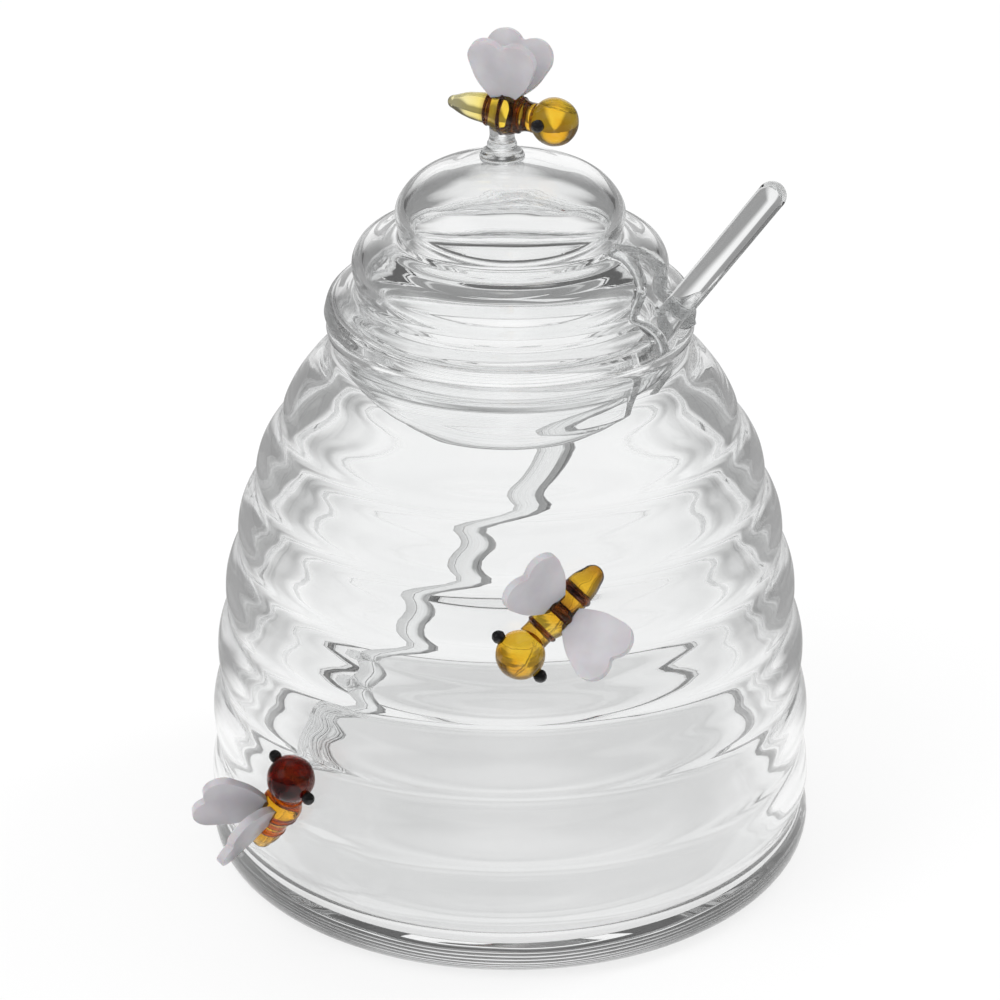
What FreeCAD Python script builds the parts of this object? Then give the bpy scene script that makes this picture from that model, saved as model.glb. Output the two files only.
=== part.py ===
import FreeCAD, Part
import math
import os
from FreeCAD import Matrix, Vector

# A clear glass jar blown in the shape of a straw beehive, with a tiered lid, a rod dipper
# that leans in a notch of the lid, and three little lampworked bees: one as the lid's
# finial and two fused to the wall. Millimetres, +Z up, origin under the middle of the foot.

# jar
body_radius = 53.5         # outside, at the widest ring
mouth_z = 98.8             # top of the rim, where the lid sits
hive_closing = 4.0         # how far above the rim the hive's curve would close
hive_fullness = 2.33       # power of the height in the hive's curve
hive_tip = 0.33            # power that rounds the top of the curve
ring_count = 7
first_ring_z = 13.3
last_ring_drop = 13.1      # from the rim down to the last ring
ring_crowding = 0.127      # how much closer the rings lie towards the shoulder
groove_depth = 1.1         # outside, from the hive's curve down to a groove
inner_groove_depth = 0.6   # the inside follows the grooves more softly
wall = 2.2
foot_corner = 5.0          # rounding between foot and wall
floor_thickness = 3.4
inner_corner = 4.5
mouth_radius = 28.2
neck_wall = 2.0            # at the crease under the lip
lip_wall = 3.1
lip_height = 3.9           # from the crease up to the rim
rim_round = 1.0            # fire-polished corners of the rim

hive_height = mouth_z + hive_closing
last_ring_z = mouth_z - last_ring_drop
neck_z = mouth_z - lip_height
neck_radius = mouth_radius + neck_wall
lip_radius = mouth_radius + lip_wall

# lid
lid_seat_gap = 0.05
flange_overhang = 0.3      # past the jar's lip
flange_rise = 1.65         # from the lid's seat up to the flange's widest line
flange_round = 1.6         # rounding of the flange's lower edge
flange_thickness = 2.0     # ledge between the hollow third tier and the collar
ledge_fillet = 0.5         # softening of the hollow's corners at the ledge
tier_steps_in = (7.4, 4.8) # from a tier's widest line in to that of the tier above, top one first
tier_steps_up = (17.4, 8.5, 0.0)   # from the flange's widest line up to those of the tiers
tier_rises = (9.5, 5.6, 4.6)       # from the widest line up to the tier's own top
crease_steps_in = (1.5, 1.3)       # from a tier's widest line in to where the next one starts
tier_tuck_in = 0.6         # how far a tier curves in under its widest line
tier_tuck_down = 1.8       # and how far down that reaches
crease_lean = 0.6          # share of the wall's offset that goes sideways at a crease
lid_wall = 2.0
plug_gap = 2.3             # between the jar's mouth and the collar that hangs in it
plug_depth = 13.85         # from the lid's seat down to the collar's edge
notch_azimuth = -23.0      # degrees from +X
notch_foot_width = 12.6
notch_top_width = 9.2
notch_rise = 12.9          # from the flange's widest line up to the notch's top
notch_shoulder_rise = 6.5  # and up to where the notch starts to narrow

seat_z = mouth_z + lid_seat_gap
flange_z = seat_z + flange_rise
flange_radius = lip_radius + flange_overhang
middle_radius = flange_radius - tier_steps_in[1]
tier_radii = [middle_radius - tier_steps_in[0], middle_radius, flange_radius]
tier_heights = [flange_z + step for step in tier_steps_up]
crease_radii = [0.0] + [radius - step for radius, step in zip(tier_radii, crease_steps_in)]
apex_z = tier_heights[0] + tier_rises[0]
plug_radius = mouth_radius - plug_gap
plug_bottom_z = seat_z - plug_depth
notch_top_z = flange_z + notch_rise
notch_shoulder_z = flange_z + notch_shoulder_rise

# stem between the lid and its bee
stem_foot_radius = 3.8
stem_foot_height = 2.8
stem_foot_sink = 0.6       # how far the foot's edge reaches below the dome's top
stem_radius = 2.2
stem_length = 5.8          # over the dome's top, its end inside the bee
stem_back = 9.35           # behind the head's centre, along the bee

# dipper
rod_radius = 2.4
dipper_length = 153.0
dipper_azimuth = -20.0     # degrees from +X, where the rod leaves through the notch
dipper_reach = 40.0        # from the jar's axis to the tip's centre
tip_radius = 3.0
head_radius_wide = 4.6
head_length = 19.0
head_shoulder = 2.6
flute_count = 8
flute_radius = 1.25
flute_depth = 0.75
rest_gap = 0.1             # between the dipper and what it touches

# bees, seen from the head back along the body
bee_head_radius = 4.05
bee_body_length = 19.0     # head's centre to the tail's end
bee_neck_radius = 2.5
bee_neck_back = 4.6
bee_neck_length = 1.6      # straight stretch of the neck, mostly inside the head
bee_thorax_back = 7.8
bee_waist_back = 11.5
bee_tail_taper = 3.0       # from the tail's end to where it starts to round off
eye_radius = 1.1
eye_stand = 0.65           # how far an eye's centre stands out of the head
band_radius = 0.75         # thickness of the dark threads wound round a body
band_proud = 0.2
wing_thickness = 1.4
wing_edge = 0.55
wing_lobe_share = 0.275    # radius of a lobe as a share of the wing's width
wing_dip_radius = 0.8      # rounding of the dip between the lobes
wing_root_width = 3.6
wing_root_share = 0.95     # of the thorax's radius, where a wing's root starts
wing_sink = 1.0            # length of the root inside the body before it is cut back
seat_gap = 0.1             # between fused pieces that stay separate solids
thread_gap = 0.04          # round a thread in its groove

# wing is its width and length; spreads and leans are those of the left and the right wing,
# in degrees from straight up: out to the side, and forward
bees = {
    "bee_finial": {
        "thorax": 3.7, "waist": 2.75, "tail": 1.1, "bands": (5.9, 8.9, 11.6),
        "wing": (11.8, 10.9), "wing_back": 9.0, "spreads": (16.0, 14.0), "leans": (9.0, 0.0),
        "eye": (-0.25, 1.0, 0.12)},
    "bee_front": {
        "thorax": 3.35, "waist": 2.8, "tail": 1.9, "bands": (5.4, 9.4, 13.4),
        "wing": (11.3, 11.6), "wing_back": 9.9, "spreads": (50.0, 50.0), "leans": (0.0, 0.0),
        "eye": (0.06, 1.0, 0.08)},
    "bee_side": {
        "thorax": 3.5, "waist": 2.8, "tail": 1.9, "bands": (5.4, 9.4, 13.4),
        "wing": (11.6, 12.2), "wing_back": 9.3, "spreads": (30.0, 12.0), "leans": (0.0, 0.0),
        "eye": (0.09, 1.0, 0.0)},
}
finial_yaw = -22.0         # the finial bee looks a little to the front
finial_pitch = 3.8         # and slightly down
finial_place = (7.3, -2.9)
finial_rise = 7.4          # from the dome's top up to the middle of the bee's head
wall_bees = {              # azimuth from the front, height, heading on the wall, in degrees and mm
    "bee_front": (8.0, 65.6, -136.6),
    "bee_side": (-44.1, 26.4, 60.4),
}
bee_stand = 2.5            # a wall bee's body line over the hive's curve
bee_head_lift = 1.8        # the head's centre over the body line, clear of the wall


def hive_radius(z):
    """Outside radius of the hive's curve at height z, without rings."""
    return body_radius * (1 - (z / hive_height) ** hive_fullness) ** hive_tip


def hive_point(z, depth):
    """Point of the outline at height z, moved in along the normal by depth."""
    step = 0.01
    slope = (hive_radius(z + step) - hive_radius(z - step)) / (2 * step)
    length = math.hypot(1, slope)
    return Vector(hive_radius(z) - depth / length, 0, z + depth * slope / length)


def ring_heights():
    """Heights of the rings' crests, a little closer together towards the shoulder."""
    heights = []
    for i in range(ring_count):
        share = i / (ring_count - 1)
        share = share * (1 + ring_crowding * (1 - share))
        heights.append(first_ring_z + (last_ring_z - first_ring_z) * share)
    return heights


def hive_line(depth, groove):
    """Points of a wall surface from the first ring up: a crest at each ring, then a dip."""
    points = []
    heights = ring_heights()
    below = heights[0]
    for z in heights:
        if z > below:
            points.append(hive_point((below + z) / 2, depth + groove))
        points.append(hive_point(z, depth))
        below = z
    points.append(hive_point((below + neck_z) / 2, depth))
    return points


def spline(points):
    curve = Part.BSplineCurve()
    curve.interpolate(points)
    return curve


def dome_spline(points):
    """Spline that starts level on the axis, because its first points are mirrored there."""
    mirrored = [Vector(-p.x, 0, p.z) for p in points[2:0:-1]]
    curve = spline(mirrored + points)
    curve.segment(curve.parameter(points[0]), curve.LastParameter)
    return curve


def cap(rim, apex):
    """Arc from rim up or down to apex, centred on the axis so that it turns into a sphere."""
    height = apex.z - rim.z
    side = math.copysign(1, height)
    radius = (rim.x ** 2 + height ** 2) / (2 * abs(height))
    centre = point(0, apex.z - side * radius)
    half = math.atan2(rim.x, side * (rim.z - centre.z)) / 2
    middle = centre + Vector(math.sin(half), 0, side * math.cos(half)) * radius
    return Part.Arc(rim, middle, apex).toShape()


def round_points(centre, radius, first, last, count):
    """Points on a circle about centre, from angle first to angle last in degrees."""
    points = []
    for i in range(count):
        t = math.radians(first + (last - first) * i / (count - 1))
        points.append(centre + Vector(math.cos(t), 0, math.sin(t)) * radius)
    return points


def line(a, b):
    return Part.LineSegment(a, b).toShape()


def corner(start, end, centre):
    """Quarter-round from start to end about centre."""
    radius = start.distanceToPoint(centre)
    middle = (start + end) * 0.5 - centre
    middle.normalize()
    return Part.Arc(start, centre + middle * radius, end).toShape()


def revolved(edges):
    face = Part.Face(Part.Wire(edges))
    return face.revolve(Vector(0, 0, 0), Vector(0, 0, 1), 360)


def point(r, z):
    return Vector(r, 0, z)


def jar_outer_edges(grow):
    """Outside of the jar from the middle of the foot up to the neck, grown by a gap."""
    foot_radius = body_radius - foot_corner
    corner_points = round_points(point(foot_radius, foot_corner), foot_corner + grow, -90, 0, 5)
    foot_groove = hive_point((foot_corner + first_ring_z) / 2, groove_depth - grow)
    wall_points = corner_points + [foot_groove] + hive_line(-grow, groove_depth)
    wall_points.append(point(neck_radius + grow, neck_z))
    return [
        line(point(0, -grow), corner_points[0]),
        spline(wall_points).toShape(),
    ]


def jar():
    rim_z = mouth_z - rim_round
    neck = point(neck_radius, neck_z)
    flare_z = (neck_z + rim_z) / 2
    flare = point((neck_radius + lip_radius) / 2, flare_z)
    crease = point(neck_radius + 0.12 * (lip_radius - neck_radius), (neck_z + flare_z) / 2)
    land_out = point(lip_radius - rim_round, mouth_z)
    land_in = point(mouth_radius + rim_round, mouth_z)
    mouth_edge = point(mouth_radius, rim_z)
    neck_inside = point(mouth_radius, neck_z)
    floor_radius = body_radius - wall - inner_corner
    inner = round_points(point(floor_radius, floor_thickness + inner_corner), inner_corner, -90, 0, 5)
    inner += hive_line(wall, inner_groove_depth) + [neck_inside]
    edges = jar_outer_edges(0)
    edges += [
        Part.Arc(neck, crease, flare).toShape(),
        Part.Arc(flare, point(lip_radius, rim_z), land_out).toShape(),
        line(land_out, land_in),
        corner(land_in, mouth_edge, point(mouth_radius + rim_round, rim_z)),
        line(mouth_edge, neck_inside),
        spline(list(reversed(inner))).toShape(),
        line(inner[0], point(0, floor_thickness)),
        line(point(0, floor_thickness), point(0, 0)),
    ]
    return revolved(edges)


def jar_outside(grow):
    """The jar without its hollow, a gap larger all round: what a wall bee is cut back with."""
    edges = jar_outer_edges(grow)
    neck = point(neck_radius + grow, neck_z)
    edges += [
        line(neck, point(0, neck_z)),
        line(point(0, neck_z), point(0, -grow)),
    ]
    return revolved(edges)


def lid_line(inset):
    """Points of the lid's three tiers from the top down, moved in by inset."""
    points = []
    for radius, z, rise, start in zip(tier_radii, tier_heights, tier_rises, crease_radii):
        for degrees in (0, 30, 60, 90):
            t = math.radians(degrees)
            run = radius - start
            out = Vector(math.sin(t) / run, 0, math.cos(t) / rise).normalize()
            if degrees == 0 and start > 0:
                out = Vector(crease_lean, 0, 1 - crease_lean).normalize()
            points.append(point(start + run * math.sin(t), z + rise * math.cos(t)) - out * inset)
        if z > flange_z:
            points.append(point(radius - tier_tuck_in - inset, z - tier_tuck_down))
    return points


def dome_outside(grow):
    """The lid's tiers filled in, a gap larger all round: what the stem is cut back with."""
    outside = lid_line(-grow)
    foot = point(0, outside[-1].z)
    edges = [dome_spline(outside).toShape(), line(outside[-1], foot), line(foot, outside[0])]
    return revolved(edges)


def lid_profile():
    outside = lid_line(0)
    inside = lid_line(lid_wall)[:-1]
    plug_inside = plug_radius - lid_wall
    throat = point(plug_inside, seat_z)
    ledge_z = seat_z + flange_thickness
    pocket = [
        point(inside[-1].x - ledge_fillet, ledge_z + ledge_fillet / 5),
        point((inside[-1].x + plug_radius) / 2, ledge_z),
        point(plug_radius - 1.6 * ledge_fillet, ledge_z - 0.8 * ledge_fillet),
    ]
    seat_out = point(flange_radius - flange_round, seat_z)
    flange_side = point(flange_radius - 0.3 * flange_round, (flange_z + seat_z) / 2 - 0.2)
    plug_root = point(plug_radius, seat_z)
    plug_edge = point(plug_radius, plug_bottom_z + lid_wall / 2)
    plug_back = point(plug_inside, plug_edge.z)
    underside = dome_spline(inside + pocket + [throat])
    underside.reverse()
    return [
        dome_spline(outside).toShape(),
        Part.Arc(outside[-1], flange_side, seat_out).toShape(),
        line(seat_out, plug_root),
        line(plug_root, plug_edge),
        Part.Arc(plug_edge, point((plug_radius + plug_inside) / 2, plug_bottom_z), plug_back).toShape(),
        line(plug_back, throat),
        underside.toShape(),
        line(inside[0], outside[0]),
    ]


def notch_cutter():
    """Arch-shaped prism that lets the dipper out through the lid's side and its collar."""
    half_foot = notch_foot_width / 2
    half_top = notch_top_width / 2
    inner_r = plug_radius * 0.45
    reach = flange_radius
    low = plug_bottom_z - 2 * lid_wall
    crown_z = notch_top_z - half_top
    corners = [
        Vector(inner_r, -half_foot, low),
        Vector(inner_r, half_foot, low),
        Vector(inner_r, half_foot, notch_shoulder_z),
        Vector(inner_r, half_top, crown_z),
        Vector(inner_r, -half_top, crown_z),
        Vector(inner_r, -half_foot, notch_shoulder_z),
    ]
    edges = [line(corners[i], corners[i + 1]) for i in range(3)]
    edges.append(Part.Arc(corners[3], Vector(inner_r, 0, notch_top_z), corners[4]).toShape())
    edges += [line(corners[4], corners[5]), line(corners[5], corners[0])]
    prism = Part.Face(Part.Wire(edges)).extrude(Vector(reach, 0, 0))
    prism.rotate(Vector(0, 0, 0), Vector(0, 0, 1), notch_azimuth)
    return prism


def lid():
    return revolved(lid_profile()).cut(notch_cutter())


def stem():
    """Clear glass foot and waist that carry the finial bee, seated on the dome."""
    foot_z = apex_z - stem_foot_sink
    waist_z = apex_z + stem_foot_height
    stem_top_z = apex_z + stem_length
    outline = [
        point(0.94 * stem_foot_radius, foot_z),
        point(stem_foot_radius, foot_z + 0.45 * stem_foot_height),
        point(1.05 * stem_radius, waist_z),
        point(stem_radius, stem_top_z),
    ]
    edges = [
        line(point(0, foot_z), outline[0]),
        spline(outline).toShape(),
        line(outline[-1], point(0, stem_top_z)),
        line(point(0, stem_top_z), point(0, foot_z)),
    ]
    ahead, out, head = bee_frame("bee_finial")
    under_bee = head - ahead * stem_back
    knob = revolved(edges)
    knob.translate(Vector(under_bee.x, under_bee.y, 0))
    return knob.cut(dome_outside(seat_gap))


def dipper_pose():
    """Tip centre and slope of the dipper in the XZ plane: tip on the floor, rod on the rim."""
    tip = Vector(-dipper_reach, 0, floor_thickness + tip_radius + rest_gap)
    rim = Vector(mouth_radius + rim_round, 0, mouth_z - rim_round)
    span = rim - tip
    offset = rim_round + rest_gap + rod_radius
    angle = math.atan2(span.z, span.x) + math.asin(offset / span.Length)
    return tip, angle


def dipper():
    """Rod with a fluted head, modelled upright with the tip's centre at the origin."""
    shoulder_top = head_length - tip_radius
    wide_z = shoulder_top - head_shoulder
    top = dipper_length - tip_radius
    shoulder = point(0.93 * head_radius_wide, wide_z + 0.62 * head_shoulder)
    edges = [
        cap(point(tip_radius, 0), point(0, -tip_radius)),
        line(point(tip_radius, 0), point(head_radius_wide, wide_z)),
        Part.Arc(point(head_radius_wide, wide_z), shoulder, point(rod_radius, shoulder_top)).toShape(),
        line(point(rod_radius, shoulder_top), point(rod_radius, top - rod_radius)),
        cap(point(rod_radius, top - rod_radius), point(0, top)),
        line(point(0, top), point(0, -tip_radius)),
    ]
    solid = revolved(edges)
    taper = math.atan2(head_radius_wide - tip_radius, wide_z)
    start = Vector(tip_radius - flute_depth + flute_radius, 0, -tip_radius)
    run = Vector(math.sin(taper), 0, math.cos(taper))
    length = wide_z + tip_radius
    groove = Part.makeCylinder(flute_radius, length, start, run)
    groove = groove.fuse(Part.makeSphere(flute_radius, start + run * length))
    for i in range(flute_count):
        cutter = groove.copy()
        cutter.rotate(Vector(0, 0, 0), Vector(0, 0, 1), 360 * i / flute_count)
        solid = solid.cut(cutter)
    tip, angle = dipper_pose()
    solid.rotate(Vector(0, 0, 0), Vector(0, 1, 0), 90 - math.degrees(angle))
    solid.translate(tip)
    solid.rotate(Vector(0, 0, 0), Vector(0, 0, 1), dipper_azimuth)
    return solid


def bee_radius_line(bee, grow):
    """Outline of a bee's body along -X from inside the head back to the tail's end."""
    end = bee_body_length
    stations = [
        (bee_neck_back - bee_neck_length, bee_neck_radius),
        (bee_neck_back, bee_neck_radius),
        (bee_thorax_back, bee["thorax"]),
        (bee_waist_back, bee["waist"]),
        (end - bee_tail_taper, (bee["waist"] + bee["tail"]) / 2),
        (end - 0.9 * bee["tail"], bee["tail"]),
    ]
    return [Vector(radius + grow, 0, -back) for back, radius in stations]


def bee_body(bee, grow):
    """Body turned about its own line, then laid along -X; grow is a gap all round."""
    points = bee_radius_line(bee, grow)
    end = point(0, -bee_body_length - grow)
    front = point(0, points[0].z)
    edges = [
        line(front, points[0]),
        spline(points).toShape(),
        cap(points[-1], end),
        line(end, front),
    ]
    solid = revolved(edges)
    solid.rotate(Vector(0, 0, 0), Vector(0, 1, 0), 90)
    return solid


def band(bee, back, grow):
    """One dark thread wound round the body, half sunk in it; grow is a gap all round."""
    curve = spline(bee_radius_line(bee, 0))
    at = curve.intersectCC(Part.Line(point(0, -back), point(10, -back)))[0]
    middle = at.X + band_proud - band_radius
    return Part.makeTorus(middle, band_radius + grow, Vector(-back, 0, 0), Vector(1, 0, 0))


def bee_seat(bee):
    """The body with its threads, a gap larger: what a wing or the stem is cut back with."""
    seat = bee_body(bee, seat_gap)
    for back in bee["bands"]:
        seat = seat.fuse(band(bee, back, seat_gap))
    return seat


def wing_shape(width, length):
    """Heart-shaped wing in the XY plane, root at the origin, lobes towards +Y."""
    lobe = wing_lobe_share * width
    cx = width / 2 - lobe
    cy = length - lobe - wing_sink
    root = wing_root_width / 2
    dip_y = cy + math.sqrt((lobe + wing_dip_radius) ** 2 - cx ** 2)
    reach = math.hypot(cx - root, cy + wing_sink)
    turn = math.atan2(cy + wing_sink, cx - root) - math.asin(lobe / reach)
    run = math.sqrt(reach ** 2 - lobe ** 2)
    side = Vector(root + run * math.cos(turn), run * math.sin(turn) - wing_sink, 0)
    centre = Vector(cx, cy, 0)
    inward = (Vector(0, dip_y, 0) - centre).normalize()
    dip = centre + inward * lobe
    crest = centre + Vector(math.cos(math.radians(50)), math.sin(math.radians(50)), 0) * lobe
    mirrored = [Vector(-p.x, p.y, 0) for p in (side, crest, dip)]
    edges = [
        line(Vector(-root, -wing_sink, 0), Vector(root, -wing_sink, 0)),
        line(Vector(root, -wing_sink, 0), side),
        Part.Arc(side, crest, dip).toShape(),
        Part.Arc(dip, Vector(0, dip_y - wing_dip_radius, 0), mirrored[2]).toShape(),
        Part.Arc(mirrored[2], mirrored[1], mirrored[0]).toShape(),
        line(mirrored[0], Vector(-root, -wing_sink, 0)),
    ]
    plate = Part.Face(Part.Wire(edges)).extrude(Vector(0, 0, wing_thickness))
    plate.translate(Vector(0, 0, -wing_thickness / 2))
    rims = [e for e in plate.Edges if abs(abs(e.CenterOfMass.z) - wing_thickness / 2) < 1e-6
            and e.CenterOfMass.y > 0]
    return plate.makeFillet(wing_edge, rims)


def placed(shape, x_axis, y_axis, z_axis, origin):
    """The shape with its own axes turned to the three given ones."""
    matrix = Matrix(
        x_axis.x, y_axis.x, z_axis.x, origin.x,
        x_axis.y, y_axis.y, z_axis.y, origin.y,
        x_axis.z, y_axis.z, z_axis.z, origin.z,
        0, 0, 0, 1)
    moved = shape.copy()
    moved.transformShape(matrix)
    return moved


def wing(bee, side):
    """A wing on the body, turned from straight up by the bee's own angles."""
    at = 0 if side > 0 else 1
    spread = math.radians(bee["spreads"][at]) * side
    lean = math.radians(bee["leans"][at])
    out = Vector(0, math.sin(spread), math.cos(spread))
    ahead = Vector(1, 0, 0)
    root = out * wing_root_share * bee["thorax"] - ahead * bee["wing_back"]
    across = ahead * math.cos(lean) - out * math.sin(lean)
    along = out * math.cos(lean) + ahead * math.sin(lean)
    return placed(wing_shape(*bee["wing"]), across, along, across.cross(along), root)


def bee_pieces(name):
    """All pieces of one bee in its own frame: +X ahead, +Z out of its back."""
    bee = bees[name]
    lift = bee_head_lift if name in wall_bees else 0
    head_centre = Vector(0, 0, lift)
    head = Part.makeSphere(bee_head_radius, head_centre)
    seat = Part.makeSphere(bee_head_radius + seat_gap, head_centre)
    eye_reach = bee_head_radius + eye_stand
    body = bee_body(bee, 0).cut(seat)
    wing_seat = bee_seat(bee)
    pieces = {"head": head}
    for i, back in enumerate(bee["bands"]):
        pieces["band_%d" % (i + 1)] = band(bee, back, 0).cut(seat)
        body = body.cut(band(bee, back, thread_gap))
    pieces["body"] = body
    for label, side in (("left", 1), ("right", -1)):
        pieces["wing_" + label] = wing(bee, side).cut(wing_seat)
        aside = Vector(bee["eye"][0], side * bee["eye"][1], bee["eye"][2])
        eye = Part.makeSphere(eye_radius, head_centre + aside * eye_reach)
        pieces["eye_" + label] = eye.cut(seat)
    return pieces


def bee_frame(name):
    """Axes and origin of a bee's frame on the finial or on the wall."""
    if name not in wall_bees:
        yaw = math.radians(finial_yaw)
        pitch = math.radians(finial_pitch)
        level = Vector(math.cos(yaw), math.sin(yaw), 0)
        up = Vector(0, 0, 1)
        ahead = level * math.cos(pitch) - up * math.sin(pitch)
        out = up * math.cos(pitch) + level * math.sin(pitch)
        return ahead, out, Vector(*finial_place, apex_z + finial_rise)
    azimuth, z, heading = wall_bees[name]
    azimuth = math.radians(azimuth)
    heading = math.radians(heading)
    flat_out = Vector(math.sin(azimuth), -math.cos(azimuth), 0)
    along = Vector(math.cos(azimuth), math.sin(azimuth), 0)
    surface = hive_point(z, 0)
    normal = hive_point(z, -1) - surface
    out = flat_out * normal.x + Vector(0, 0, normal.z)
    rising = out.cross(along)
    ahead = along * math.cos(heading) + rising * math.sin(heading)
    middle = flat_out * surface.x + Vector(0, 0, surface.z) + out * bee_stand
    origin = middle + ahead * bee_thorax_back
    return ahead, out, origin


def build_all():
    nodes = {"jar": jar(), "lid": lid(), "dipper": dipper()}
    hive = jar_outside(seat_gap)
    for name in bees:
        ahead, out, origin = bee_frame(name)
        sideways = out.cross(ahead)
        for piece, shape in bee_pieces(name).items():
            shape = placed(shape, ahead, sideways, out, origin)
            if name in wall_bees and not piece.startswith("wing"):
                shape = shape.cut(hive)
            nodes[name + "_" + piece] = shape
        if name not in wall_bees:
            nodes["lid_stem"] = stem().cut(placed(bee_seat(bees[name]), ahead, sideways, out, origin))
    return nodes


os.makedirs("parts", exist_ok=True)
for node, shape in build_all().items():
    shape.exportStep("parts/%s.step" % node)
    print(node, len(shape.Solids), "solids, volume", round(shape.Volume, 1), "valid", shape.isValid())
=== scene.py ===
from math import asin, atan2, cos, hypot, pi, radians, sin, sqrt

import bpy
from mathutils import Matrix, Vector


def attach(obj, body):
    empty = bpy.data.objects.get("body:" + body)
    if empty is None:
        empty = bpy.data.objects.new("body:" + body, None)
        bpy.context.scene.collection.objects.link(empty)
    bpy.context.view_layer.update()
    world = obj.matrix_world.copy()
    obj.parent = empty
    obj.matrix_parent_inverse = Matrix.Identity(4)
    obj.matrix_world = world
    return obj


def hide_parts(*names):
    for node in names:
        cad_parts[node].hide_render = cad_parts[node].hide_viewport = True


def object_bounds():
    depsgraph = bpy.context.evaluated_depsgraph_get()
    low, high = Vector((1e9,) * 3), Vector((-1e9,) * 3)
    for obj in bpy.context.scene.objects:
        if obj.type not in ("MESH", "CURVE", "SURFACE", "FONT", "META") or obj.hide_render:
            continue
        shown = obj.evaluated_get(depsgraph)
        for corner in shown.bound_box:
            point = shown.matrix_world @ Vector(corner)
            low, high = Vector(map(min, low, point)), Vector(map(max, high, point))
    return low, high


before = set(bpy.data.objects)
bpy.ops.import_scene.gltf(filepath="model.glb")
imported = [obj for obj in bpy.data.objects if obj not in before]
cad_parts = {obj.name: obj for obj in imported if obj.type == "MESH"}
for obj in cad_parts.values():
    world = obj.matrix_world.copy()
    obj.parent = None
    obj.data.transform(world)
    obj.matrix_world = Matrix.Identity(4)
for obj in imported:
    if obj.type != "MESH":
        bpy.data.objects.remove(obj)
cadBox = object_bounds()
mm = 0.001


# drawing and turning outlines

def deselectAll():
    if bpy.context.mode != "OBJECT":
        bpy.ops.object.mode_set(mode="OBJECT")
    bpy.ops.object.select_all(action="DESELECT")


def arcPoints(centre, radius, first, last, count):  # angles in degrees, 0 points outwards
    points = []
    for i in range(count):
        t = radians(first + (last - first) * i / (count - 1))
        points.append((centre[0] + radius * cos(t), centre[1] + radius * sin(t)))
    return points


def linePoints(a, b, count):
    return [(a[0] + (b[0] - a[0]) * i / (count - 1), a[1] + (b[1] - a[1]) * i / (count - 1))
            for i in range(count)]


def tangentAt(points, i):
    here = Vector(points[i])
    if i == 0 or i == len(points) - 1:
        other = Vector(points[1] if i == 0 else points[-2])
        step = (other - here) if i == 0 else (here - other)
        return step / step.length
    before, after = here - Vector(points[i - 1]), Vector(points[i + 1]) - here
    mixed = before / before.length * after.length + after / after.length * before.length
    return mixed / (before.length + after.length)


def smoothLine(points, spacing):  # a smooth line through the points, in steps of about spacing
    line = [tuple(points[0])]
    for i in range(len(points) - 1):
        a, b = Vector(points[i]), Vector(points[i + 1])
        span = (b - a).length
        inner = a + tangentAt(points, i) * span / 3
        outer = b - tangentAt(points, i + 1) * span / 3
        count = max(1, round(span / spacing))
        for k in range(1, count + 1):
            t = k / count
            at = a * (1 - t) ** 3 + inner * 3 * t * (1 - t) ** 2 + outer * 3 * t * t * (1 - t) + b * t ** 3
            line.append(tuple(at))
    return line


def joinLines(*lines):
    joined = []
    for line in lines:
        for p in line:
            if not joined or hypot(p[0] - joined[-1][0], p[1] - joined[-1][1]) > 0.02:
                joined.append(p)
    return joined


def drawLine(name, points):  # points as (x, z) in millimetres; leaves the piece in edit mode
    deselectAll()
    bpy.ops.mesh.primitive_plane_add(size=mm)
    piece = bpy.context.object
    piece.name = piece.data.name = name
    bpy.ops.object.mode_set(mode="EDIT")
    bpy.ops.mesh.select_all(action="SELECT")
    bpy.ops.mesh.merge(type="CENTER")
    bpy.ops.transform.translate(value=(points[0][0] * mm, 0, points[0][1] * mm))
    for a, b in zip(points, points[1:]):
        step = ((b[0] - a[0]) * mm, 0, (b[1] - a[1]) * mm)
        bpy.ops.mesh.extrude_vertices_move(TRANSFORM_OT_translate={"value": step})
    return piece


def pushOut(depth):  # fills the drawn outline and pushes it into a block, in edit mode
    bpy.ops.mesh.select_all(action="SELECT")
    bpy.ops.mesh.edge_face_add()
    bpy.ops.mesh.extrude_region_move(TRANSFORM_OT_translate={"value": (0, -depth * mm, 0)})
    bpy.ops.mesh.select_all(action="SELECT")
    bpy.ops.mesh.normals_make_consistent(inside=False)


def turnedPiece(name, points, steps):  # the outline spun about the Z axis into a closed form
    piece = drawLine(name, points)
    bpy.ops.mesh.select_all(action="SELECT")
    bpy.ops.mesh.spin(steps=steps, angle=2 * pi, center=(0, 0, 0), axis=(0, 0, 1))
    bpy.ops.mesh.select_all(action="SELECT")
    bpy.ops.mesh.remove_doubles(threshold=0.01 * mm)
    bpy.ops.mesh.normals_make_consistent(inside=False)
    bpy.ops.object.mode_set(mode="OBJECT")
    bpy.ops.object.shade_smooth()
    return piece


def applyModifier(piece, kind, **values):
    modifier = piece.modifiers.new(kind.title(), kind)
    for key, value in values.items():
        setattr(modifier, key, value)
    bpy.context.view_layer.objects.active = piece
    bpy.ops.object.modifier_apply(modifier=modifier.name)


def waver(piece, strength, size):  # the small unevenness of glass worked by hand
    cloud = bpy.data.textures.new(piece.name + "Waver", "CLOUDS")
    cloud.noise_scale = size * mm
    cloud.noise_depth = 1
    applyModifier(piece, "DISPLACE", texture=cloud, strength=strength * mm, mid_level=0.5,
                  texture_coords="LOCAL")


def placePiece(piece, matrix):
    deselectAll()
    piece.select_set(True)
    bpy.context.view_layer.objects.active = piece
    piece.matrix_world = matrix
    bpy.ops.object.transform_apply(location=True, rotation=True, scale=True)


def cutWith(piece, cutter, operation="DIFFERENCE"):
    applyModifier(piece, "BOOLEAN", operation=operation, object=cutter, solver="EXACT")
    bpy.data.objects.remove(cutter)


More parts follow.
